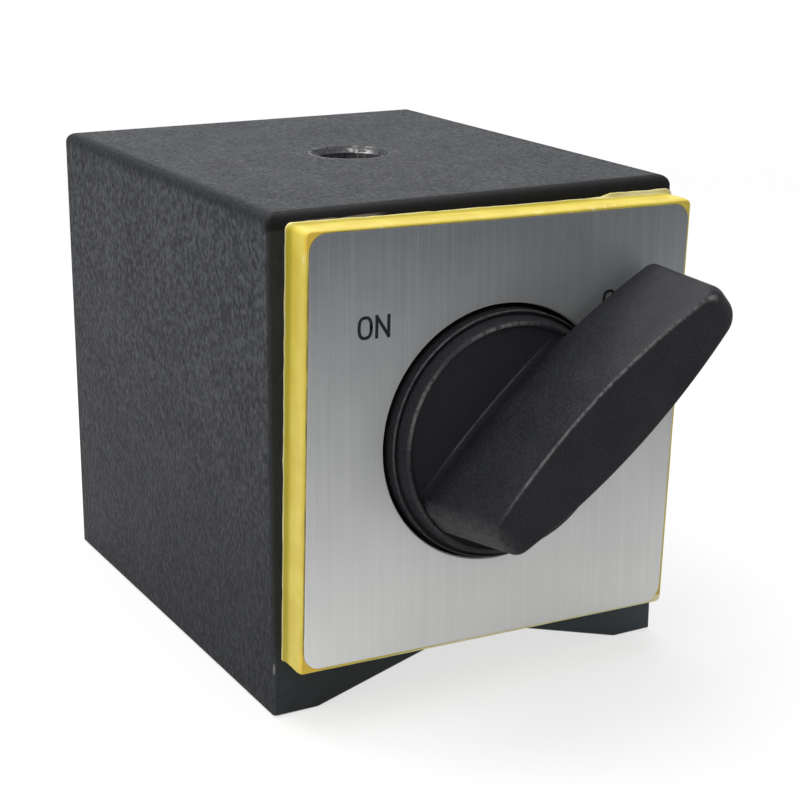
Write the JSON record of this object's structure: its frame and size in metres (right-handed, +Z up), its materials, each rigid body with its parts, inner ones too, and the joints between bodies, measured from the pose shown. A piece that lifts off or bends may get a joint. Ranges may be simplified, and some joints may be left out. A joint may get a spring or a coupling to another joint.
{
  "type": "switchable magnetic base",
  "caption": "Steel block with a vee-grooved foot, a threaded stand hole on top and a magnet rotor inside that a knob on the front switches on and off.",
  "frame": {"origin": "middle of the base, in the plane of the feet, on the axis of the stand thread", "axes": "+Z up along the stand thread, -Y out through the knob along the switch axis, X across the two poles"},
  "size_m": [0.05, 0.079, 0.055],
  "materials": {
    "pole_paint": "satin",
    "brass": "machined",
    "plate_steel": "turned",
    "bush_brass": "turned",
    "screw_steel": "blackened",
    "washer_steel": "ground",
    "pin_steel": "ground",
    "cover_plastic": "satin",
    "face_aluminium": "brushed",
    "knob_plastic": "satin",
    "spindle_steel": "turned",
    "rotor_steel": "turned",
    "magnet": "ground"
  },
  "bodies": {
    "housing": {"pole_left": "pole_paint", "pole_right": "pole_paint", "spacer_top": "pole_paint", "spacer_bottom": "brass", "front_plate": "plate_steel", "front_bush": "bush_brass", "front_plate_screws": "screw_steel", "front_washer": "washer_steel", "rear_plate": "plate_steel", "rear_bush": "bush_brass", "rear_plate_screws": "screw_steel", "rear_washer": "washer_steel", "stop_pin": "pin_steel", "front_cover": "cover_plastic", "face_plate": "face_aluminium", "cover_screws": "screw_steel"},
    "switch": {"knob": "knob_plastic", "front_spindle": "spindle_steel", "rear_spindle": "spindle_steel", "rotor_shoe_top": "rotor_steel", "rotor_shoe_bottom": "rotor_steel", "magnet_front": "magnet", "magnet_rear": "magnet", "rotor_filler_left": "brass", "rotor_filler_right": "brass", "front_cap": "brass", "rear_cap": "brass", "front_cap_screws": "screw_steel", "rear_cap_screws": "screw_steel"}
  },
  "joints": [
    {"name": "switch_turn", "type": "hinge", "parent": "housing", "child": "switch", "pos_m": [0, 0, 0.0298], "axis": [0, -1, 0], "range_deg": [0, 90]}
  ]
}
